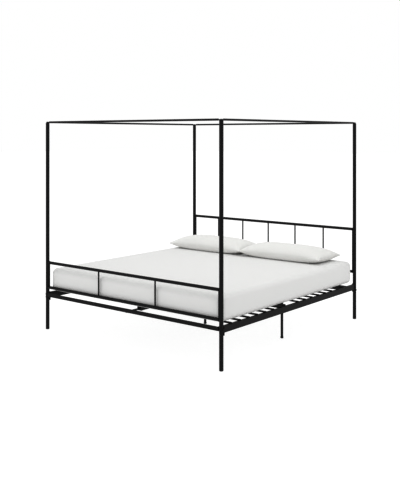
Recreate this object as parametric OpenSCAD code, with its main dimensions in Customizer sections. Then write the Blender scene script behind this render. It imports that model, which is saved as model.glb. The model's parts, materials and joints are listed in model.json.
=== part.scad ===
// Four poster canopy bed for a king mattress: a round tube frame with a headboard,
// a low footboard and a light canopy, with its mattress and two pillows.
// The origin is on the floor at the middle of the bed; +Y is the head, +X the right side.

/* [Mattress] */
// Width of the mattress
mattress_w = 1930; // [1300:10:2200]
// Length of the mattress
mattress_l = 2032; // [1700:8:2300]
// Thickness of the mattress
mattress_t = 205; // [120:5:300]
// Radius of the mattress corners seen from above
mattress_corner_r = 55; // [46:1:90]
// Radius of the rounding along the top and bottom edges
mattress_edge_r = 44; // [20:1:45]

/* [Posts] */
// Height of the posts, up to the canopy tabs
post_h = 1843; // [1500:1:2200]
// Outer diameter of the posts
post_d = 32; // [28:1:40]
// Wall thickness of the tubes
tube_wall = 1.5; // [1:0.1:2]
// Side gap between the mattress and the line through the post centres
post_gap_x = 12.5; // [11:0.5:30]
// End gap between the mattress and the line through the post centres
post_gap_y = 19; // [17:0.5:40]

/* [Canopy] */
// Diameter of the canopy rails
canopy_d = 16; // [12:1:18]
// Thickness of a flattened rail end
tab_t = 2.6; // [2:0.1:4]
// Width of a flattened rail end
tab_w = 22; // [18:1:24]

/* [Headboard] */
// Height of the centre of the headboard top rail
head_top_z = 845; // [700:1:1200]
// Height of the centre of the headboard low rail
head_low_z = 444; // [400:1:560]
// Diameter of the head and foot board rails
board_rail_d = 25; // [19:1:28]
// Diameter of the spindles
spindle_d = 12.7; // [8:0.1:16]

/* [Footboard] */
// Height of the centre of the footboard top rail
foot_top_z = 595; // [500:1:700]
// Height of the centre of the footboard low rail
foot_low_z = 374; // [366:1:400]

/* [Bed frame] */
// Height of the top of the side rails
rail_top_z = 328; // [280:1:340]
// Height of the side rail section
side_rail_h = 50; // [40:1:60]
// Width of the side rail section
side_rail_w = 20; // [16:1:25]
// Size of the angle section across each end
end_angle = 32; // [28:1:40]
// Height of the lower edge of the end rails
end_rail_z = 293; // [240:1:300]
// Width of the centre rail
centre_rail_w = 40; // [30:1:50]
// Diameter of the support legs
leg_d = 22; // [16:1:25]
// How far in from the posts' middle the two side legs stand
leg_inset = 154.5; // [60:0.5:450]

/* [Slats] */
// Width of a slat
slat_w = 20; // [16:1:30]
// Thickness of a slat
slat_t = 10; // [6:1:14]
// Number of slat spaces that fit between the head and foot posts
slat_spaces = 18.1; // [16:0.1:24]
// Width of the two square cross bars
cross_bar_w = 30; // [20:1:40]
// Height of the two cross bars
cross_bar_h = 34; // [25:1:45]

/* [Pillows] */
// Length of a pillow, across the bed
pillow_l = 890; // [500:5:900]
// Width of a pillow, along the bed
pillow_w = 420; // [350:5:500]
// Thickness of a pillow
pillow_t = 144; // [90:2:180]
// Gap between the two pillows' ends
pillow_gap = 9; // [5:1:40]
// How far the pair of pillows lies left of the bed's middle
pillow_shift = 56; // [0:1:60]

/* [Hidden] */
$fn = 64;
eps = 0.01;
post_x = mattress_w / 2 + post_gap_x;
post_y = mattress_l / 2 + post_gap_y;
post_r = post_d / 2;
inner_x = post_x - post_r;
inner_y = post_y - post_r;
glide_h = 8;
insert_h = 30;
cap_h = 5.8;
cap_bolt_d = 8;
cap_dome_r = (post_r * post_r + cap_h * cap_h) / (2 * cap_h);
canopy_z = post_h + 5.5;
canopy_stop = post_r + 12;
tab_taper = 9;
stile_t = 3;
stile_w = 25;
board_rail_end = inner_x - stile_t;
head_spindle_step = (post_x - post_r) / 3;
board_bolt_d = 6;
board_bolt_inset = 36;
frame_bolt_d = 8;
side_bolt_z = [rail_top_z - side_rail_h / 2 - 13, rail_top_z - side_rail_h / 2 + 13];
hook_plate_t = 5;
hook_plate_w = 28;
hook_plate_h = 76;
end_plate_t = 5;
side_rail_end = inner_y - hook_plate_t - end_plate_t;
angle_t = 3;
end_rail_end = inner_x - end_plate_t;
centre_body_end = post_y - 155;
centre_tab_t = 4;
centre_tab_end = post_y + 3;
centre_bolt_y = post_y - 6;
leg_x = post_x - leg_inset;
foot_h = 12;
end_plate_z = [end_rail_z, end_rail_z + angle_t - end_angle];
end_bolt_z = [rail_top_z - side_rail_h / 2, end_rail_z - end_angle / 2 - 3];
foot_base = 4;
end_rail_tab_y = end_angle / 2 + post_y - centre_bolt_y;
cross_bar_z = rail_top_z + slat_t - cross_bar_h;
slat_len = 2 * post_x + side_rail_w - 5;
slat_count = 14;
slat_pitch = 2 * post_y / slat_spaces;
slat_first = -post_y + 0.98 * slat_pitch;
slat_mid = 0.17 * slat_pitch;
slat_y = concat(
    [for (i = [0:6]) slat_first + i * slat_pitch],
    [for (i = [0:6]) slat_mid + i * slat_pitch]);
cross_y = [-1.43 * slat_pitch, slat_mid + 7 * slat_pitch];
cross_end = post_x - side_rail_w / 2 - end_plate_t;
mattress_z = rail_top_z + slat_t + 0.4;
pillow_z = mattress_z + mattress_t + 0.4;
pillow_y = mattress_l / 2 - 6 - pillow_w / 2;
pillow_len = min(pillow_l, mattress_w / 2 - pillow_shift - pillow_gap - 10);
pillow_step = pillow_len + pillow_gap;

// ---- Shared shapes ----

// Round tube standing along Z from z = 0, hollow right through
module round_tube(d, length) {
    difference() {
        cylinder(h = length, d = d);
        translate([0, 0, -1]) cylinder(h = length + 2, d = d - 2 * tube_wall);
    }
}

// Round tube along X, centred on the origin
module round_tube_x(d, length) {
    rotate([0, 90, 0]) translate([0, 0, -length / 2]) round_tube(d, length);
}

// Box tube along X, centred on X and Y, standing on z = 0
module box_tube_x(length, w, h) {
    difference() {
        translate([-length / 2, -w / 2, 0]) cube([length, w, h]);
        translate([-length / 2 - 1, tube_wall - w / 2, tube_wall])
            cube([length + 2, w - 2 * tube_wall, h - 2 * tube_wall]);
    }
}

// Plate along the Y axis with its thickness from y = 0 and centred on X and Z
module plate_y(w, t, h) {
    translate([-w / 2, 0, -h / 2]) cube([w, t, h]);
}

// Bolt along Z: a domed head below z = 0 and a shaft going up
module bolt(d, head_d, length) {
    cylinder(h = length, d = d);
    rotate([180, 0, 0]) cylinder(h = 0.3 * d, d = head_d);
    rotate([180, 0, 0]) translate([0, 0, 0.3 * d - eps])
        cylinder(h = 0.25 * d, d1 = head_d, d2 = 0.6 * head_d);
}

// Shaft of a bolt, a little larger, to cut its hole
module bolt_hole(d, length) {
    translate([0, 0, -1]) cylinder(h = length + 1, d = d + 0.4);
}

// Puts a child at all four posts, mirrored so that it keeps facing the bed
module at_posts() {
    for (sx = [-1, 1])
        for (sy = [-1, 1])
            scale_to_post(sx, sy) children();
}

// Puts a child at one post: the child is drawn for the right head post
module scale_to_post(sx, sy) {
    mirror([sx < 0 ? 1 : 0, 0, 0])
        mirror([0, sy < 0 ? 1 : 0, 0])
            translate([post_x, post_y, 0]) children();
}

// ---- Posts ----

// Places of the two bolts of a board stile, above and below its rails' inner edges
function board_bolt_z(low, top) = [low + board_bolt_inset, top - board_bolt_inset];

// One post, drawn for the right head corner; bolt_z are the heights of its board bolts and
// end_z that of its end rail's bolt
module post(bolt_z, end_z) {
    difference() {
        translate([0, 0, glide_h]) round_tube(post_d, post_h - glide_h);
        for (z = bolt_z)
            translate([0, 0, z]) rotate([0, -90, 0]) bolt_hole(board_bolt_d, post_d);
        for (z = side_bolt_z)
            translate([0, post_d, z]) rotate([90, 0, 0]) bolt_hole(frame_bolt_d, 2 * post_d);
        translate([post_d, 0, end_z])
            rotate([0, -90, 0]) bolt_hole(frame_bolt_d, 2 * post_d);
    }
}

module post_foot_left() {
    color("#1b1b1c") scale_to_post(-1, -1) post(board_bolt_z(foot_low_z, foot_top_z), end_bolt_z[0]);
}

module post_foot_right() {
    color("#1b1b1c") scale_to_post(1, -1) post(board_bolt_z(foot_low_z, foot_top_z), end_bolt_z[0]);
}

module post_head_left() {
    color("#1b1b1c") scale_to_post(-1, 1) post(board_bolt_z(head_low_z, head_top_z), end_bolt_z[1]);
}

module post_head_right() {
    color("#1b1b1c") scale_to_post(1, 1) post(board_bolt_z(head_low_z, head_top_z), end_bolt_z[1]);
}

// Plastic glide in the foot of each post
module post_glides() {
    color("#141414") at_posts() {
        cylinder(h = 3, d1 = post_d - 5, d2 = post_d);
        translate([0, 0, 3 - eps]) cylinder(h = glide_h - 3 + eps, d = post_d);
        translate([0, 0, glide_h - eps]) cylinder(h = 16, d = post_d - 2 * tube_wall);
    }
}

// Threaded plug in the top of each post
module post_inserts() {
    color("#8d8f92") at_posts() difference() {
        translate([0, 0, post_h - insert_h]) cylinder(h = insert_h, d = post_d - 2 * tube_wall);
        translate([0, 0, post_h - insert_h - 1]) cylinder(h = insert_h + 2, d = cap_bolt_d);
    }
}

// Domed cap with a screw that clamps both rail tabs onto a post
module canopy_caps() {
    color("#1b1b1c") at_posts() translate([0, 0, post_h + 2 * tab_t]) {
        rotate_extrude() intersection() {
            square([post_d, cap_h]);
            translate([0, cap_h - cap_dome_r]) circle(r = cap_dome_r, $fn = 256);
        }
        translate([0, 0, -2 * tab_t - 20]) cylinder(h = 2 * tab_t + 20 + eps, d = cap_bolt_d);
    }
}

// ---- Canopy rails ----

// Flattened end of a canopy rail, drawn for the +X end; lift is its height on the post
module canopy_tab(reach, lift) {
    difference() {
        union() {
            translate([reach - canopy_stop + tab_taper, -tab_w / 2, lift])
                cube([canopy_stop - tab_taper, tab_w, tab_t]);
            translate([reach, 0, lift]) cylinder(h = tab_t, d = tab_w);
        }
        translate([reach, 0, lift - 1]) cylinder(h = tab_t + 2, d = cap_bolt_d + 0.4);
    }
    hull() {
        translate([reach - canopy_stop - 0.5, 0, canopy_z]) rotate([0, 90, 0])
            cylinder(h = 0.5, d = canopy_d, $fn = 32);
        translate([reach - canopy_stop + tab_taper, -tab_w / 2, lift]) cube([0.5, tab_w, tab_t]);
    }
}

// Canopy rail along X with a flattened end at each post
module canopy_rail(reach, lift) {
    color("#1b1b1c") {
        translate([0, 0, canopy_z]) round_tube_x(canopy_d, 2 * (reach - canopy_stop));
        canopy_tab(reach, lift);
        mirror([1, 0, 0]) canopy_tab(reach, lift);
    }
}

module canopy_rail_foot() {
    translate([0, -post_y, 0]) canopy_rail(post_x, post_h);
}

module canopy_rail_head() {
    translate([0, post_y, 0]) canopy_rail(post_x, post_h);
}

module canopy_rail_left() {
    translate([-post_x, 0, 0]) rotate([0, 0, 90]) canopy_rail(post_y, post_h + tab_t);
}

module canopy_rail_right() {
    translate([post_x, 0, 0]) rotate([0, 0, 90]) canopy_rail(post_y, post_h + tab_t);
}

// ---- Head and foot boards ----

// Rail of a board, running between its two stiles
module board_rail(y, z) {
    color("#1b1b1c") translate([0, y, z]) round_tube_x(board_rail_d, 2 * board_rail_end);
}

// Spindle between two rails, with its ends coped to sit on them
module spindle(x, y, low, top) {
    color("#1b1b1c") translate([x, y, 0]) difference() {
        translate([0, 0, low]) round_tube(spindle_d, top - low);
        for (z = [low, top])
            translate([-board_rail_d, 0, z]) rotate([0, 90, 0])
                cylinder(h = 2 * board_rail_d, d = board_rail_d);
    }
}

// Flat bar that closes a board against a post, drawn for the right side
module stile(y, low, top) {
    difference() {
        translate([board_rail_end, y - stile_w / 2, low - board_rail_d / 2])
            cube([stile_t, stile_w, top - low + board_rail_d]);
        for (z = board_bolt_z(low, top))
            translate([inner_x + 1, y, z]) rotate([0, -90, 0]) bolt_hole(board_bolt_d, 6);
    }
}

module headboard_top_rail() {
    board_rail(post_y, head_top_z);
}

module headboard_low_rail() {
    board_rail(post_y, head_low_z);
}

module headboard_spindle(i) {
    spindle((i - 3) * head_spindle_step, post_y, head_low_z, head_top_z);
}

module headboard_stile_left() {
    color("#1b1b1c") mirror([1, 0, 0]) stile(post_y, head_low_z, head_top_z);
}

module headboard_stile_right() {
    color("#1b1b1c") stile(post_y, head_low_z, head_top_z);
}

module footboard_top_rail() {
    board_rail(-post_y, foot_top_z);
}

module footboard_low_rail() {
    board_rail(-post_y, foot_low_z);
}

module footboard_spindle_left() {
    spindle(-head_spindle_step, -post_y, foot_low_z, foot_top_z);
}

module footboard_spindle_right() {
    spindle(head_spindle_step, -post_y, foot_low_z, foot_top_z);
}

module footboard_stile_left() {
    color("#1b1b1c") mirror([1, 0, 0]) stile(-post_y, foot_low_z, foot_top_z);
}

module footboard_stile_right() {
    color("#1b1b1c") stile(-post_y, foot_low_z, foot_top_z);
}

// Bolts through the stiles into the posts, two at each stile
module board_bolts() {
    color("#2a2a2b") for (sx = [0, 1]) mirror([sx, 0, 0]) {
        for (z = board_bolt_z(head_low_z, head_top_z))
            translate([board_rail_end, post_y, z])
                rotate([0, 90, 0]) bolt(board_bolt_d, 12, stile_t + 12);
        for (z = board_bolt_z(foot_low_z, foot_top_z))
            translate([board_rail_end, -post_y, z])
                rotate([0, 90, 0]) bolt(board_bolt_d, 12, stile_t + 12);
    }
}

// ---- Bed frame ----

// Angle section along X: the flat leg inwards and the upright leg at the outside, from leg_z up
module end_rail(leg_z) {
    difference() {
        translate([-end_rail_end, 0, 0]) union() {
            translate([0, 0, leg_z]) cube([2 * end_rail_end, angle_t, end_angle]);
            translate([0, 0, end_rail_z]) cube([2 * end_rail_end, end_angle, angle_t]);
        }
        translate([0, end_rail_tab_y, end_rail_z - 1]) cylinder(h = 10, d = frame_bolt_d + 0.4);
    }
}

module end_rail_foot() {
    color("#1b1b1c") translate([0, -post_y - end_angle / 2, 0]) end_rail(end_plate_z[0]);
}

// The head end rail is the same angle turned over, its upright leg hanging down
module end_rail_head() {
    color("#1b1b1c") mirror([0, 1, 0]) translate([0, -post_y - end_angle / 2, 0])
        end_rail(end_plate_z[1]);
}

// Side rail: a box tube between the end plates, screwed to the slats along its top
module side_rail() {
    difference() {
        translate([0, 0, rail_top_z - side_rail_h]) rotate([0, 0, 90])
            box_tube_x(2 * side_rail_end, side_rail_w, side_rail_h);
        for (y = slat_y)
            translate([0, y, rail_top_z - 5]) cylinder(h = 10, d = 4.5);
    }
}

module side_rail_left() {
    color("#262627") translate([-post_x, 0, 0]) side_rail();
}

module side_rail_right() {
    color("#262627") translate([post_x, 0, 0]) side_rail();
}

// Upright plate on the inner side of each post, which the side rail bolts against
module post_hook_plates() {
    color("#1b1b1c") at_posts() difference() {
        translate([0, -post_r - hook_plate_t, rail_top_z + 6 - hook_plate_h / 2])
            plate_y(hook_plate_w, hook_plate_t, hook_plate_h);
        for (z = side_bolt_z)
            translate([0, 0, z]) rotate([90, 0, 0]) bolt_hole(frame_bolt_d, 2 * post_d);
    }
}

// Puts a child at both posts of one end: 0 is the foot end and 1 is the head end
module at_end(i) {
    for (sx = [-1, 1])
        scale_to_post(sx, 2 * i - 1) children();
}

// Threaded plates welded into the ends of the side rails and end rails
module rail_end_plates() {
    color("#1b1b1c") {
        at_posts() difference() {
            translate([0, -post_r - hook_plate_t - end_plate_t, rail_top_z - side_rail_h / 2])
                plate_y(side_rail_w + 4, end_plate_t, side_rail_h);
            for (z = side_bolt_z)
                translate([0, 0, z]) rotate([90, 0, 0])
                    cylinder(h = 2 * post_d, d = frame_bolt_d);
        }
        for (i = [0, 1])
            at_end(i) difference() {
                translate([-post_r - end_plate_t, -end_angle / 2, end_plate_z[i]])
                    cube([end_plate_t, end_angle, end_angle]);
                translate([0, 0, end_bolt_z[i]]) rotate([0, -90, 0])
                    cylinder(h = 2 * post_d, d = frame_bolt_d);
            }
    }
}

// Bolts through the posts: two into each side rail and one into each end rail
module frame_bolts() {
    color("#2a2a2b") {
        at_posts()
            for (z = side_bolt_z)
                translate([0, post_r, z]) rotate([90, 0, 0])
                    bolt(frame_bolt_d, 15, post_d + hook_plate_t + end_plate_t);
        for (i = [0, 1])
            at_end(i) translate([post_r, 0, end_bolt_z[i]]) rotate([0, -90, 0])
                bolt(frame_bolt_d, 15, post_d + end_plate_t);
    }
}

// Centre rail: a box tube under the slats with its ends pressed flat under the end rails
module centre_rail() {
    color("#262627") difference() {
        union() {
            translate([0, 0, rail_top_z - side_rail_h]) rotate([0, 0, 90])
                box_tube_x(2 * centre_body_end, centre_rail_w, side_rail_h);
            for (sy = [-1, 1])
                translate([-centre_rail_w / 2, sy < 0 ? -centre_tab_end : centre_body_end - 4,
                           end_rail_z - centre_tab_t])
                    cube([centre_rail_w, centre_tab_end - centre_body_end + 4, centre_tab_t]);
            for (sy = [-1, 1])
                translate([-centre_rail_w / 2, sy < 0 ? -centre_body_end : centre_body_end - tube_wall,
                           rail_top_z - side_rail_h])
                    cube([centre_rail_w, tube_wall, side_rail_h]);
        }
        for (sy = [-1, 1])
            translate([0, sy * centre_bolt_y, end_rail_z - 10])
                cylinder(h = 20, d = frame_bolt_d + 0.4);
        for (y = cross_y)
            translate([-centre_rail_w, y - cross_bar_w / 2 - 0.2, cross_bar_z - 0.2])
                cube([2 * centre_rail_w, cross_bar_w + 0.4, cross_bar_h + 1]);
    }
}

// Bolt and nut that hold each end of the centre rail
module centre_rail_bolts() {
    color("#2a2a2b") for (sy = [-1, 1]) translate([0, sy * centre_bolt_y, 0]) {
        translate([0, 0, end_rail_z - centre_tab_t]) bolt(frame_bolt_d, 13, 16);
        translate([0, 0, end_rail_z + angle_t]) difference() {
            cylinder(h = 6, d = 14, $fn = 6);
            translate([0, 0, -1]) cylinder(h = 8, d = frame_bolt_d);
        }
    }
}

// Support leg standing in its foot, up to the part that it carries
module leg(x, y, top) {
    color("#1b1b1c") translate([x, y, foot_base]) round_tube(leg_d, top - foot_base);
}

module leg_centre() {
    leg(0, 0, rail_top_z - side_rail_h);
}

module leg_left() {
    leg(-leg_x, slat_mid, rail_top_z);
}

module leg_right() {
    leg(leg_x, slat_mid, rail_top_z);
}

// Plastic foot on the bottom of each support leg
module leg_feet() {
    color("#141414")
        for (p = [[0, 0], [-leg_x, slat_mid], [leg_x, slat_mid]])
            translate([p[0], p[1], 0]) difference() {
                union() {
                    cylinder(h = 2, d1 = leg_d, d2 = leg_d + 4);
                    translate([0, 0, 2 - eps]) cylinder(h = foot_h, d = leg_d + 4);
                }
                translate([0, 0, foot_base]) cylinder(h = foot_h + 1, d = leg_d);
            }
}

// ---- Slats ----

// One slat: a flat box tube across both side rails and the centre rail
module slat(i) {
    color("#222223") translate([0, slat_y[i - 1], rail_top_z]) difference() {
        box_tube_x(slat_len, slat_w, slat_t);
        for (sx = [-1, 1])
            translate([sx * post_x, 0, -1]) cylinder(h = slat_t + 2, d = 4.5);
    }
}

// Square cross bar let in between the side rails, its top level with the slats
module cross_bar(i) {
    color("#222223") translate([0, cross_y[i], cross_bar_z]) union() {
        box_tube_x(2 * cross_end, cross_bar_w, cross_bar_h);
        for (sx = [-1, 1])
            translate([sx * (cross_end + end_plate_t / 2) - end_plate_t / 2,
                       -cross_bar_w / 2, 0])
                cube([end_plate_t, cross_bar_w, cross_bar_h]);
    }
}

module cross_bar_middle() {
    cross_bar(0);
}

module cross_bar_head() {
    cross_bar(1);
}

// Screws that hold the slats down, one at each end
module slat_screws() {
    color("#2a2a2b") for (y = slat_y) for (sx = [-1, 1])
        translate([sx * post_x, y, rail_top_z + slat_t]) rotate([180, 0, 0]) bolt(4.5, 9, slat_t + 5);
}

// ---- Soft goods ----

// One rounded corner column of the mattress
module mattress_corner() {
    rotate_extrude($fn = 32)
        intersection() {
            square([mattress_corner_r, mattress_t]);
            hull() {
                square([mattress_corner_r - mattress_edge_r, mattress_t]);
                for (z = [mattress_edge_r, mattress_t - mattress_edge_r])
                    translate([mattress_corner_r - mattress_edge_r, z])
                        circle(r = mattress_edge_r, $fn = 32);
            }
        }
}

module mattress() {
    cx = mattress_w / 2 - mattress_corner_r;
    cy = mattress_l / 2 - mattress_corner_r;
    color("#ececec") translate([0, 0, mattress_z]) hull()
        for (x = [-cx, cx])
            for (y = [-cy, cy])
                translate([x, y, 0]) mattress_corner();
}

// A filled pillow: thin at the seam round its edge and full in the middle
module pillow(x) {
    edge_r = 20;
    full_r = pillow_t / 2;
    color("#f2f2f0") translate([x, pillow_y, pillow_z + full_r]) hull() {
        for (sx = [-1, 1]) for (sy = [-1, 1]) {
            translate([sx * (pillow_len / 2 - edge_r), sy * (pillow_w / 2 - edge_r), 0])
                sphere(r = edge_r, $fn = 24);
            translate([sx * pillow_len * 0.24, sy * pillow_w * 0.18, 0])
                sphere(r = full_r, $fn = 48);
        }
    }
}

module pillow_left() {
    pillow(-pillow_shift - pillow_step / 2);
}

module pillow_right() {
    pillow(-pillow_shift + pillow_step / 2);
}

post_foot_left();
post_foot_right();
post_head_left();
post_head_right();
post_glides();
post_inserts();
canopy_caps();
canopy_rail_foot();
canopy_rail_head();
canopy_rail_left();
canopy_rail_right();
headboard_top_rail();
headboard_low_rail();
for (i = [1:5])
    headboard_spindle(i);
headboard_stile_left();
headboard_stile_right();
footboard_top_rail();
footboard_low_rail();
footboard_spindle_left();
footboard_spindle_right();
footboard_stile_left();
footboard_stile_right();
board_bolts();
end_rail_foot();
end_rail_head();
side_rail_left();
side_rail_right();
post_hook_plates();
rail_end_plates();
frame_bolts();
centre_rail();
centre_rail_bolts();
leg_centre();
leg_left();
leg_right();
leg_feet();
for (i = [1:slat_count])
    slat(i);
cross_bar_middle();
cross_bar_head();
slat_screws();
mattress();
pillow_left();
pillow_right();
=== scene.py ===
"""Four poster canopy bed: the finished look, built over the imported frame."""
import json
import math

import bmesh
import bpy
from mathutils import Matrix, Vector, noise


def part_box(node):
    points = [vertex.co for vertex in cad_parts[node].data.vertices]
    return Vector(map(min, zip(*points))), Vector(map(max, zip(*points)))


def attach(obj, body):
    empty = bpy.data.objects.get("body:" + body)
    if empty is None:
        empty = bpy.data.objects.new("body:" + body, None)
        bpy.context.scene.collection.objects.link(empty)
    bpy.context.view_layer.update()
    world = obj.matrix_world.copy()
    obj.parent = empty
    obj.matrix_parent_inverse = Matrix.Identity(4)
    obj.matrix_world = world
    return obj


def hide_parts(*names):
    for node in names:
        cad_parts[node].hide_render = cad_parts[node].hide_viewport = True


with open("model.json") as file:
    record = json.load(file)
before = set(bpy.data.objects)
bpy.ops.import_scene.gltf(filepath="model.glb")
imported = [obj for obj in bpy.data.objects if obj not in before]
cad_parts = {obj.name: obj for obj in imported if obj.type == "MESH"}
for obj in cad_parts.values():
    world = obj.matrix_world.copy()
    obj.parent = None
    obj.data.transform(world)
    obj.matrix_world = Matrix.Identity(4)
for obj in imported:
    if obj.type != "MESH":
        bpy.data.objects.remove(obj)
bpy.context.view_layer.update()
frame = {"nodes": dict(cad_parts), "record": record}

bl_info = {
    "name": "Four poster canopy bed",
    "version": (1, 0, 0),
    "blender": (4, 5, 0),
    "location": "View3D > Sidebar > Canopy bed",
    "description": "Black steel canopy bed with a white mattress and two pillows",
    "category": "Object",
}


# ---- Shared helpers ----


def linear(code):
    """Turn an sRGB hex colour such as 2b2b2c into linear red, green, blue and alpha."""
    channels = [int(code[i : i + 2], 16) / 255 for i in (0, 2, 4)]
    rgb = [c / 12.92 if c <= 0.04045 else ((c + 0.055) / 1.055) ** 2.4 for c in channels]
    return (*rgb, 1.0)


def add_node(tree, kind, settings=None, links=None):
    """Add a node, set its properties, then fill its inputs with values or link them from (node, output)."""
    node = tree.nodes.new(kind)
    for name, value in (settings or {}).items():
        setattr(node, name, value)
    for name, value in (links or {}).items():
        socket = node.inputs[name]
        if isinstance(value, tuple) and isinstance(value[0], bpy.types.Node):
            tree.links.new(value[0].outputs[value[1]], socket)
        else:
            socket.default_value = value
    return node


def new_material(name):
    """Start a material with an empty tree; returns it, its tree and its Object coordinates."""
    material = bpy.data.materials.new(name)
    material.use_nodes = True
    tree = material.node_tree
    tree.nodes.clear()
    coords = add_node(tree, "ShaderNodeTexCoord")
    return material, tree, (coords, "Object")


def end_material(tree, shader):
    """Link the finished shader to the material output."""
    add_node(tree, "ShaderNodeOutputMaterial", links={"Surface": (shader, "BSDF")})


def link(obj):
    """Put a new object in the scene."""
    bpy.context.scene.collection.objects.link(obj)
    return obj


def mesh_object(name, verts, faces, material):
    """Make a smooth-shaded mesh object with its faces turned outward."""
    mesh = bpy.data.meshes.new(name)
    mesh.from_pydata(verts, [], faces)
    bm = bmesh.new()
    bm.from_mesh(mesh)
    bmesh.ops.recalc_face_normals(bm, faces=bm.faces)
    bm.to_mesh(mesh)
    bm.free()
    mesh.shade_smooth()
    mesh.materials.append(material)
    return link(bpy.data.objects.new(name, mesh))


def bake_nodes(obj, group, inputs):
    """Run a Geometry Nodes group on obj and keep its result as a plain mesh."""
    modifier = obj.modifiers.new("Build", "NODES")
    modifier.node_group = group
    for item in group.interface.items_tree:
        if item.item_type == "SOCKET" and item.in_out == "INPUT" and item.name in inputs:
            modifier[item.identifier] = inputs[item.name]
    depsgraph = bpy.context.evaluated_depsgraph_get()
    result = obj.evaluated_get(depsgraph)
    mesh = bpy.data.meshes.new_from_object(result, depsgraph=depsgraph)
    obj.modifiers.clear()
    obj.data = mesh
    return obj


# ---- Materials ----


def powder_coated_steel(look):
    """Satin black powder coat: the fine orange peel breaks up each highlight along the tubes."""
    spread = 0.05
    material, tree, coords = new_material("powder_coated_steel")
    peel = add_node(tree, "ShaderNodeTexNoise", links={"Vector": coords, "Scale": 700.0, "Detail": 2.0})
    wear = add_node(tree, "ShaderNodeTexNoise", links={"Vector": coords, "Scale": 9.0, "Detail": 3.0})
    rough = add_node(
        tree,
        "ShaderNodeMapRange",
        links={
            "Value": (wear, "Fac"),
            "To Min": look.coat_roughness - spread,
            "To Max": look.coat_roughness + spread,
        },
    )
    bump = add_node(
        tree, "ShaderNodeBump", links={"Height": (peel, "Fac"), "Strength": 0.12, "Distance": 0.0001}
    )
    shader = add_node(
        tree,
        "ShaderNodeBsdfPrincipled",
        links={
            "Base Color": tuple(look.coat_colour),
            "Roughness": (rough, "Result"),
            "Specular IOR Level": 0.25,
            "Normal": (bump, "Normal"),
        },
    )
    end_material(tree, shader)
    return material


def black_oxide_steel(look):
    """Blackened bolt steel: a darker, harder glint than the powder coat beside it."""
    material, tree, coords = new_material("black_oxide_steel")
    grain = add_node(tree, "ShaderNodeTexNoise", links={"Vector": coords, "Scale": 260.0, "Detail": 3.0})
    rough = add_node(
        tree, "ShaderNodeMapRange", links={"Value": (grain, "Fac"), "To Min": 0.3, "To Max": 0.42}
    )
    shader = add_node(
        tree,
        "ShaderNodeBsdfPrincipled",
        links={"Base Color": linear("2a2a2c"), "Metallic": 0.7, "Roughness": (rough, "Result")},
    )
    end_material(tree, shader)
    return material


def zinc_plated_steel(look):
    """Bright zinc: the pale, slightly cloudy metal of the hidden threaded plugs."""
    material, tree, coords = new_material("zinc_plated_steel")
    cloud = add_node(tree, "ShaderNodeTexNoise", links={"Vector": coords, "Scale": 120.0, "Detail": 4.0})
    rough = add_node(
        tree, "ShaderNodeMapRange", links={"Value": (cloud, "Fac"), "To Min": 0.25, "To Max": 0.5}
    )
    shader = add_node(
        tree,
        "ShaderNodeBsdfPrincipled",
        links={"Base Color": linear("b4b6b8"), "Metallic": 1.0, "Roughness": (rough, "Result")},
    )
    end_material(tree, shader)
    return material


def moulded_black_plastic(look):
    """Moulded polyethylene: the dull, waxy black of the post glides and leg feet."""
    material, tree, coords = new_material("moulded_black_plastic")
    grain = add_node(tree, "ShaderNodeTexNoise", links={"Vector": coords, "Scale": 900.0, "Detail": 2.0})
    bump = add_node(
        tree, "ShaderNodeBump", links={"Height": (grain, "Fac"), "Strength": 0.2, "Distance": 0.0001}
    )
    shader = add_node(
        tree,
        "ShaderNodeBsdfPrincipled",
        links={"Base Color": linear("1a1a1b"), "Roughness": 0.55, "Normal": (bump, "Normal")},
    )
    end_material(tree, shader)
    return material


def woven_cloth(name, colour, thread, sheen, strength):
    """Cloth: crossing waves at the thread's pitch, in metres, give it its dry, soft surface."""
    material, tree, coords = new_material(name)
    waves = []
    for direction in ("X", "Y"):
        waves.append(
            add_node(
                tree,
                "ShaderNodeTexWave",
                {"bands_direction": direction},
                {"Vector": coords, "Scale": 0.05 / thread, "Distortion": 0.6, "Detail": 1.0},
            )
        )
    weave = add_node(tree, "ShaderNodeMath", {"operation": "MULTIPLY"})
    tree.links.new(waves[0].outputs["Fac"], weave.inputs[0])
    tree.links.new(waves[1].outputs["Fac"], weave.inputs[1])
    bump = add_node(
        tree,
        "ShaderNodeBump",
        links={"Height": (weave, "Value"), "Strength": strength, "Distance": thread / 3},
    )
    shader = add_node(
        tree,
        "ShaderNodeBsdfPrincipled",
        links={
            "Base Color": tuple(colour),
            "Roughness": 0.92,
            "Specular IOR Level": 0.2,
            "Sheen Weight": sheen,
            "Sheen Roughness": 0.5,
            "Normal": (bump, "Normal"),
        },
    )
    end_material(tree, shader)
    return material


def jersey_knit(look):
    """Polyester jersey of the mattress cover: stretchy, matt and even, with loops about 1.2 mm wide."""
    return woven_cloth("jersey_knit", look.mattress_colour, 0.0012, 0.1, 0.25)


def cotton_percale(look):
    """Cotton percale of the pillow cases: crisp and matt. Its real thread, about 0.3 mm wide, is too fine
    to show, so it is drawn at twice that."""
    return woven_cloth("cotton_percale", look.pillow_colour, 0.0006, 0.15, 0.2)


def white_studio_floor(look):
    """Plain white paint: a little of its own light keeps the floor as pale as the backdrop."""
    material, tree, _ = new_material("white_studio_floor")
    shader = add_node(
        tree,
        "ShaderNodeBsdfPrincipled",
        links={
            "Base Color": linear("707070"),
            "Roughness": 0.9,
            "Emission Color": linear("ffffff"),
            "Emission Strength": look.floor_glow,
        },
    )
    end_material(tree, shader)
    return material


SLOT_MATERIALS = {
    "frame_steel": powder_coated_steel,
    "black_fasteners": black_oxide_steel,
    "zinc_insert": zinc_plated_steel,
    "black_plastic": moulded_black_plastic,
    "mattress_fabric": jersey_knit,
    "pillow_fabric": cotton_percale,
}


def material_for(slot_name):
    """The one material of that record slot, made the first time it is asked for."""
    maker = SLOT_MATERIALS[slot_name]
    return bpy.data.materials.get(maker.__name__) or maker(bpy.context.scene.bed_look)


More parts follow.
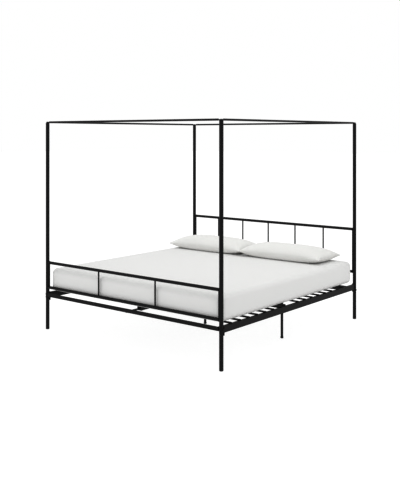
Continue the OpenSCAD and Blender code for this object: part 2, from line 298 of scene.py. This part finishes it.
# ---- Settings ----


class BedLook(bpy.types.PropertyGroup):
    """Colours and finish of the bed."""

    coat_colour: bpy.props.FloatVectorProperty(
        name="Frame colour", description="Colour of the powder coat", subtype="COLOR", size=4,
        min=0, max=1, default=linear("1e1e1f"),
    )
    coat_roughness: bpy.props.FloatProperty(
        name="Frame roughness", description="How matt the powder coat is", default=0.42, min=0.1, max=0.95,
        subtype="FACTOR",
    )
    mattress_colour: bpy.props.FloatVectorProperty(
        name="Mattress colour", description="Colour of the mattress cover", subtype="COLOR", size=4,
        min=0, max=1, default=linear("e3e3e2"),
    )
    pillow_colour: bpy.props.FloatVectorProperty(
        name="Pillow colour", description="Colour of the pillow cases", subtype="COLOR", size=4,
        min=0, max=1, default=linear("e5e5e3"),
    )
    floor_glow: bpy.props.FloatProperty(
        name="Floor glow", description="Light that the studio floor gives of its own",
        default=0.88, min=0, max=2,
    )


class BedSizes(bpy.types.PropertyGroup):
    """Sizes of the mattress and the pillows."""

    plan_corner: bpy.props.FloatProperty(
        name="Mattress corner", description="Radius of the mattress's four upright corners",
        unit="LENGTH", default=0.055, min=0.02, max=0.12,
    )
    edge_round: bpy.props.FloatProperty(
        name="Mattress edge", description="Radius of the mattress's upper and lower edges",
        unit="LENGTH", default=0.044, min=0.01, max=0.09,
    )
    cover_slack: bpy.props.FloatProperty(
        name="Cover slack", description="Depth of the soft hollows in the mattress cover", unit="LENGTH",
        default=0.0022, min=0, max=0.01,
    )
    pillow_fill: bpy.props.FloatProperty(
        name="Pillow fill", description="How full the two pillows are", subtype="FACTOR",
        default=0.7, min=0.3, max=1,
    )
    seam_radius: bpy.props.FloatProperty(
        name="Pillow seam", description="Radius of the sewn edge round each pillow", unit="LENGTH",
        default=0.0016, min=0.0005, max=0.004,
    )


# ---- Frame ----


class BED_OT_finish_frame(bpy.types.Operator):
    """Give every steel and plastic piece of the frame its finish"""

    bl_idname = "bed.finish_frame"
    bl_label = "Finish the frame"

    def execute(self, context):
        for part in frame["record"]["subparts"]:
            node = frame["nodes"][part["node"]]
            finish = material_for(part["material_slot"])
            if node.material_slots:
                for entry in node.material_slots:
                    entry.material = finish
            else:
                node.data.materials.append(finish)
        return {"FINISHED"}


# ---- Mattress ----

CLOSE_STEP = 0.007  # spacing of the cover's points round its edges
WIDE_STEP = 0.024  # spacing of the points over its flat top and long sides
UPRIGHT_STEP = 0.012  # spacing of the points up the middle of its sides


def axis_steps(half, zone, fine, coarse):
    """Positions from -half to half, close together near both ends and further apart between them."""
    ends = [half - i * zone / round(zone / fine) for i in range(round(zone / fine))]
    inner = half - zone
    count = max(1, round(2 * inner / coarse))
    middle = [-inner + i * 2 * inner / count for i in range(count + 1)]
    return [-v for v in ends] + middle + list(reversed(ends))


def box_grid(xs, ys, zs):
    """Corners and faces of a closed box whose six sides follow the given steps."""
    verts, index, faces = [], {}, []

    def at(i, j, k):
        if (i, j, k) not in index:
            index[i, j, k] = len(verts)
            verts.append(Vector((xs[i], ys[j], zs[k])))
        return index[i, j, k]

    nx, ny, nz = len(xs) - 1, len(ys) - 1, len(zs) - 1
    for k in (0, nz):
        for i in range(nx):
            for j in range(ny):
                faces.append((at(i, j, k), at(i + 1, j, k), at(i + 1, j + 1, k), at(i, j + 1, k)))
    for j in (0, ny):
        for i in range(nx):
            for k in range(nz):
                faces.append((at(i, j, k), at(i + 1, j, k), at(i + 1, j, k + 1), at(i, j, k + 1)))
    for i in (0, nx):
        for j in range(ny):
            for k in range(nz):
                faces.append((at(i, j, k), at(i, j + 1, k), at(i, j + 1, k + 1), at(i, j, k + 1)))
    return verts, faces


def round_off(point, half, radii):
    """Move a point of a box's skin on to the same box with rounded edges; also gives the way out there."""
    core = Vector([max(-(h - r), min(h - r, p)) for p, h, r in zip(point, half, radii)])
    away = Vector([(p - c) / r for p, c, r in zip(point, core, radii)])
    away.normalize()
    return core + Vector([a * r for a, r in zip(away, radii)]), away


def slack_depth(spot, away, deepest):
    """How far the cover sinks in at a spot: broad hollows with narrow ones in them, less on the top."""
    broad = noise.noise(spot * 3.1 + Vector((7.0, 1.0, 4.0)))
    narrow = noise.noise(Vector((spot.x * 11, spot.y * 11, spot.z * 5)) + Vector((2.0, 9.0, 5.0)))
    depth = deepest * (0.5 + 0.35 * broad + 0.15 * narrow)
    depth *= 1 - 0.7 * away.z**2
    return max(0.0, depth)


class BED_OT_add_mattress(bpy.types.Operator):
    """Build the mattress in its smooth knitted cover"""

    bl_idname = "bed.add_mattress"
    bl_label = "Add the mattress"

    def execute(self, context):
        sizes = context.scene.bed_sizes
        low, high = (Vector(corner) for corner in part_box("mattress"))
        centre, half = (low + high) / 2, (high - low) / 2
        radii = (sizes.plan_corner, sizes.plan_corner, sizes.edge_round)
        zone = 1.3 * sizes.plan_corner
        verts, faces = box_grid(
            axis_steps(half.x, zone, CLOSE_STEP, WIDE_STEP),
            axis_steps(half.y, zone, CLOSE_STEP, WIDE_STEP),
            axis_steps(half.z, 1.2 * sizes.edge_round, CLOSE_STEP, UPRIGHT_STEP),
        )
        placed = []
        for point in verts:
            spot, away = round_off(point, half, radii)
            placed.append(centre + spot - away * slack_depth(spot, away, sizes.cover_slack))
        cover = mesh_object("mattress_cover", placed, faces, material_for("mattress_fabric"))
        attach(cover, "mattress")
        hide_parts("mattress")
        return {"FINISHED"}


# ---- Pillows ----

# Shares of the pillow's length, width and height; u and v run from -1 to 1 along and across it
TIP_REACH = 0.026  # how far the corner tips stand out past the ends
END_DRAW = 0.02  # how far the middle of each end draws in
SIDE_DRAW = 0.05  # how far the middle of each long side draws in
SEAM_LEVEL = 0.38  # height of the sewn edge
TIP_DROP = 0.05  # how much lower the edge is at the tips
CROWN = 0.95  # height of the fullest part, before its folds and dents
FLAT_FROM = 0.5  # fullness from which the underside lies on the mattress

PLEAT = 0.0022  # height of the puckers along the edges
CORNER_FOLD = 0.004  # height of the folds that fan out from the tips
DENT = 0.0035  # height of the soft dents all over
EDGE_STEP = 0.008  # spacing of the points along the sewn edge


def pillow_outline(u, v, size):
    """Plan position of a point of the case: the sides draw in a little between the four corner tips."""
    x = u * size.x / 2 * (1 + (TIP_REACH * v**4 - END_DRAW * (1 - v**4)) * abs(u) ** 3)
    y = v * size.y / 2 * (1 - SIDE_DRAW * (1 - u**6) * abs(v) ** 3)
    return x, y


def seam_height(u, v, size):
    """Height of the sewn edge above the mattress: it sinks a little towards the four corner tips."""
    corner = (abs(u) * abs(v)) ** 4
    return size.z * (SEAM_LEVEL - TIP_DROP * corner)


def pillow_point(u, v, side, size):
    """One point of the upper (side 1) or lower (side -1) cloth, from the middle of the underside."""
    x, y = pillow_outline(u, v, size)
    squareness = 3.6 if side > 0 else 2.7
    inside = max(0.0, 1 - abs(u) ** squareness) * max(0.0, 1 - abs(v) ** 2.2)
    seam = seam_height(u, v, size)
    if side > 0:
        z = seam + (size.z * CROWN - seam) * inside**0.55
    else:
        rise = max(0.0, 1 - inside / FLAT_FROM)
        z = seam * (1 - math.sqrt(max(0.0, 1 - rise * rise)))
    return Vector((x, y, z))


def pillow_blank(size, columns, rows):
    """The filled case as two cloths that share their sewn edge; also gives the edge's points in order."""
    verts, faces, top, bottom = [], [], {}, {}

    def spread(count, i):
        # Closer together towards both ends, where the case curves most
        t = 2 * i / count - 1
        return math.sin(t * math.pi / 2) * 0.6 + t * 0.4

    for i in range(columns + 1):
        for j in range(rows + 1):
            u, v = spread(columns, i), spread(rows, j)
            top[i, j] = bottom[i, j] = len(verts)
            verts.append(pillow_point(u, v, 1, size))
            if i not in (0, columns) and j not in (0, rows):
                bottom[i, j] = len(verts)
                verts.append(pillow_point(u, v, -1, size))
    for i in range(columns):
        for j in range(rows):
            faces.append((top[i, j], top[i + 1, j], top[i + 1, j + 1], top[i, j + 1]))
            faces.append((bottom[i, j], bottom[i, j + 1], bottom[i + 1, j + 1], bottom[i + 1, j]))
    edge = [top[i, 0] for i in range(columns)] + [top[columns, j] for j in range(rows)]
    edge += [top[i, rows] for i in range(columns, 0, -1)] + [top[0, j] for j in range(rows, 0, -1)]
    return verts, faces, edge


def crumple(point, size, seed):
    """Soft folds of a filled case: short puckers that run in from the seam and fade over the full part."""
    u, v = 2 * point.x / size.x, 2 * point.y / size.y
    lift = point.z / size.z
    if lift < 0.12:
        return 0.0
    ends = max(0.0, abs(u) - 0.55) / 0.45
    sides = max(0.0, abs(v) - 0.3) / 0.7
    pleats = noise.noise(Vector((point.x * 24, seed, 0.3))) * sides**1.5
    pleats += noise.noise(Vector((seed, point.y * 26, 1.7))) * ends**1.5
    end_u, end_v = (1 if u > 0 else -1), (1 if v > 0 else -1)
    angle = math.atan2(v - 0.92 * end_v, u - end_u)
    radial = noise.noise(Vector((angle * 3, seed, 4.1)))
    corner = (abs(u) * abs(v)) ** 2
    dents = noise.noise(point * 7 + Vector((seed, 0, 0)))
    return (PLEAT * pleats + CORNER_FOLD * radial * corner + DENT * dents) * min(1.0, lift * 3)


def seam_group():
    """Geometry Nodes: a round cord that follows the edge's own line, set out afresh at an even pitch."""
    group = bpy.data.node_groups.new("pillow_seam", "GeometryNodeTree")
    sockets = group.interface
    sockets.new_socket("Geometry", in_out="INPUT", socket_type="NodeSocketGeometry")
    sockets.new_socket("Radius", in_out="INPUT", socket_type="NodeSocketFloat")
    sockets.new_socket("Pitch", in_out="INPUT", socket_type="NodeSocketFloat")
    sockets.new_socket("Material", in_out="INPUT", socket_type="NodeSocketMaterial")
    sockets.new_socket("Geometry", in_out="OUTPUT", socket_type="NodeSocketGeometry")
    source = add_node(group, "NodeGroupInput")
    line = add_node(group, "GeometryNodeMeshToCurve", links={"Mesh": (source, "Geometry")})
    even = add_node(
        group, "GeometryNodeResampleCurve", {"mode": "LENGTH"},
        {"Curve": (line, "Curve"), "Length": (source, "Pitch")},
    )
    ring = add_node(
        group, "GeometryNodeCurvePrimitiveCircle", links={"Resolution": 8, "Radius": (source, "Radius")}
    )
    cord = add_node(
        group, "GeometryNodeCurveToMesh", links={"Curve": (even, "Curve"), "Profile Curve": (ring, "Curve")}
    )
    solid = add_node(group, "GeometryNodeRealizeInstances", links={"Geometry": (cord, "Mesh")})
    dyed = add_node(
        group, "GeometryNodeSetMaterial",
        links={"Geometry": (solid, "Geometry"), "Material": (source, "Material")},
    )
    smooth = add_node(group, "GeometryNodeSetShadeSmooth", links={0: (dyed, "Geometry")})
    add_node(group, "NodeGroupOutput", links={"Geometry": (smooth, 0)})
    return group


class BED_OT_add_pillows(bpy.types.Operator):
    """Build the two filled pillows with their sewn edges"""

    bl_idname = "bed.add_pillows"
    bl_label = "Add the pillows"

    def execute(self, context):
        sizes = context.scene.bed_sizes
        group = seam_group()
        cloth = material_for("pillow_fabric")
        columns, rows = ((150, 84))
        for body, seed in (("pillow_left", 3.0), ("pillow_right", 8.0)):
            low, high = (Vector(corner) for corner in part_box(body))
            size = high - low
            verts, faces, edge = pillow_blank(size, columns, rows)
            base = Vector(((low.x + high.x) / 2, (low.y + high.y) / 2, low.z))
            rim = [base + verts[i] for i in edge]
            centre = Vector((0, 0, size.z * 0.4))
            placed = []
            for point in verts:
                out = (point - centre).normalized()
                placed.append(base + point + out * crumple(point, size, seed))
            case = mesh_object(body + "_case", placed, faces, cloth)
            line = bpy.data.meshes.new(body + "_edge")
            line.from_pydata(rim, [(i, (i + 1) % len(rim)) for i in range(len(rim))], [])
            seam = link(bpy.data.objects.new(body + "_seam", line))
            bake_nodes(seam, group, {"Radius": sizes.seam_radius, "Pitch": EDGE_STEP, "Material": cloth})
            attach(case, body)
            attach(seam, body)
            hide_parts(body)
        return {"FINISHED"}


# ---- Stage ----

CAMERA_PLACE = (4.4132, -5.5307, 1.7336)
CAMERA_TURN = 38.974  # degrees round the upright axis; the camera is level
CAMERA_LENS = 56.648
CAMERA_SHIFT = -0.2237
FLOOR_REACH = 60.0
FLOOR_LEVEL = -0.002


def add_softbox(name, place, aim, size, power):
    """An area light at place that faces aim."""
    data = bpy.data.lights.new(name, "AREA")
    data.shape = "RECTANGLE"
    data.size, data.size_y = size
    data.energy = power
    lamp = link(bpy.data.objects.new(name, data))
    lamp.location = place
    lamp.rotation_euler = (Vector(aim) - Vector(place)).to_track_quat("-Z", "Y").to_euler()
    return lamp


def light_world(scene):
    """A white surround, brightest behind the bed as the camera sees it and dimmer behind the camera."""
    world = bpy.data.worlds.new("studio")
    scene.world = world
    world.use_nodes = True
    tree = world.node_tree
    tree.nodes.clear()
    coords = add_node(tree, "ShaderNodeTexCoord")
    toward = add_node(tree, "ShaderNodeVectorMath", {"operation": "DOT_PRODUCT"})
    tree.links.new(coords.outputs["Generated"], toward.inputs[0])
    camera_aim = (-0.629, 0.777, 0.0)
    toward.inputs[1].default_value = camera_aim
    level = add_node(
        tree, "ShaderNodeMapRange",
        links={
            "Value": (toward, "Value"),
            "From Min": -0.5,
            "From Max": 0.7,
            "To Min": 0.82,
            "To Max": 1.0,
        },
    )
    light = add_node(
        tree, "ShaderNodeBackground", links={"Color": (1.0, 1.0, 1.0, 1.0), "Strength": (level, "Result")}
    )
    add_node(tree, "ShaderNodeOutputWorld", links={"Surface": (light, "Background")})


class BED_OT_add_stage(bpy.types.Operator):
    """Set the plain floor, the soft lights and the camera"""

    bl_idname = "bed.add_stage"
    bl_label = "Add the stage"

    def execute(self, context):
        scene = context.scene
        scene.view_settings.view_transform = "Standard"
        scene.view_settings.gamma = 0.66
        light_world(scene)
        corners = [(-1, -1), (1, -1), (1, 1), (-1, 1)]
        floor = mesh_object(
            "floor",
            [(x * FLOOR_REACH, y * FLOOR_REACH, FLOOR_LEVEL) for x, y in corners],
            [(0, 1, 2, 3)],
            white_studio_floor(scene.bed_look),
        )
        lamps = [
            add_softbox("overhead_light", (0.4, 0.2, 5.2), (0.0, 0.1, 0.4), (5.0, 5.0), 68),
            add_softbox("side_light", (5.6, 1.6, 2.6), (0.6, 0.2, 0.4), (3.0, 3.0), 14),
            add_softbox("foot_light", (-1.4, -6.2, 1.7), (-0.2, -0.4, 0.45), (3.5, 2.5), 34),
        ]
        data = bpy.data.cameras.new("camera")
        data.sensor_width = 36
        data.lens = CAMERA_LENS
        data.shift_y = CAMERA_SHIFT
        data.clip_end = 200
        camera = link(bpy.data.objects.new("camera", data))
        camera.location = CAMERA_PLACE
        camera.rotation_euler = (math.radians(90), 0, math.radians(CAMERA_TURN))
        scene.camera = camera
        return {"FINISHED"}


# ---- Panel and registration ----


class BED_PT_panel(bpy.types.Panel):
    """Sidebar panel with the bed's colours, sizes and build steps"""

    bl_idname = "BED_PT_panel"
    bl_label = "Canopy bed"
    bl_space_type = "VIEW_3D"
    bl_region_type = "UI"
    bl_category = "Canopy bed"

    def draw(self, context):
        layout = self.layout
        for group in (context.scene.bed_look, context.scene.bed_sizes):
            for name in group.bl_rna.properties.keys():
                if name not in ("rna_type", "name"):
                    layout.prop(group, name)
        for operator in OPERATORS:
            layout.operator(operator.bl_idname)


OPERATORS = (BED_OT_finish_frame, BED_OT_add_mattress, BED_OT_add_pillows, BED_OT_add_stage)
CLASSES = (BedLook, BedSizes, *OPERATORS, BED_PT_panel)


def register():
    """Register every class and the two groups of settings."""
    for item in CLASSES:
        bpy.utils.register_class(item)
    bpy.types.Scene.bed_look = bpy.props.PointerProperty(type=BedLook)
    bpy.types.Scene.bed_sizes = bpy.props.PointerProperty(type=BedSizes)


def unregister():
    """Take the classes and settings away again."""
    del bpy.types.Scene.bed_sizes
    del bpy.types.Scene.bed_look
    for item in reversed(CLASSES):
        bpy.utils.unregister_class(item)


def main():
    """Build the whole scene in order."""
    register()
    bpy.ops.bed.finish_frame()
    bpy.ops.bed.add_mattress()
    bpy.ops.bed.add_pillows()
    bpy.ops.bed.add_stage()


if __name__ == "__main__":
    main()
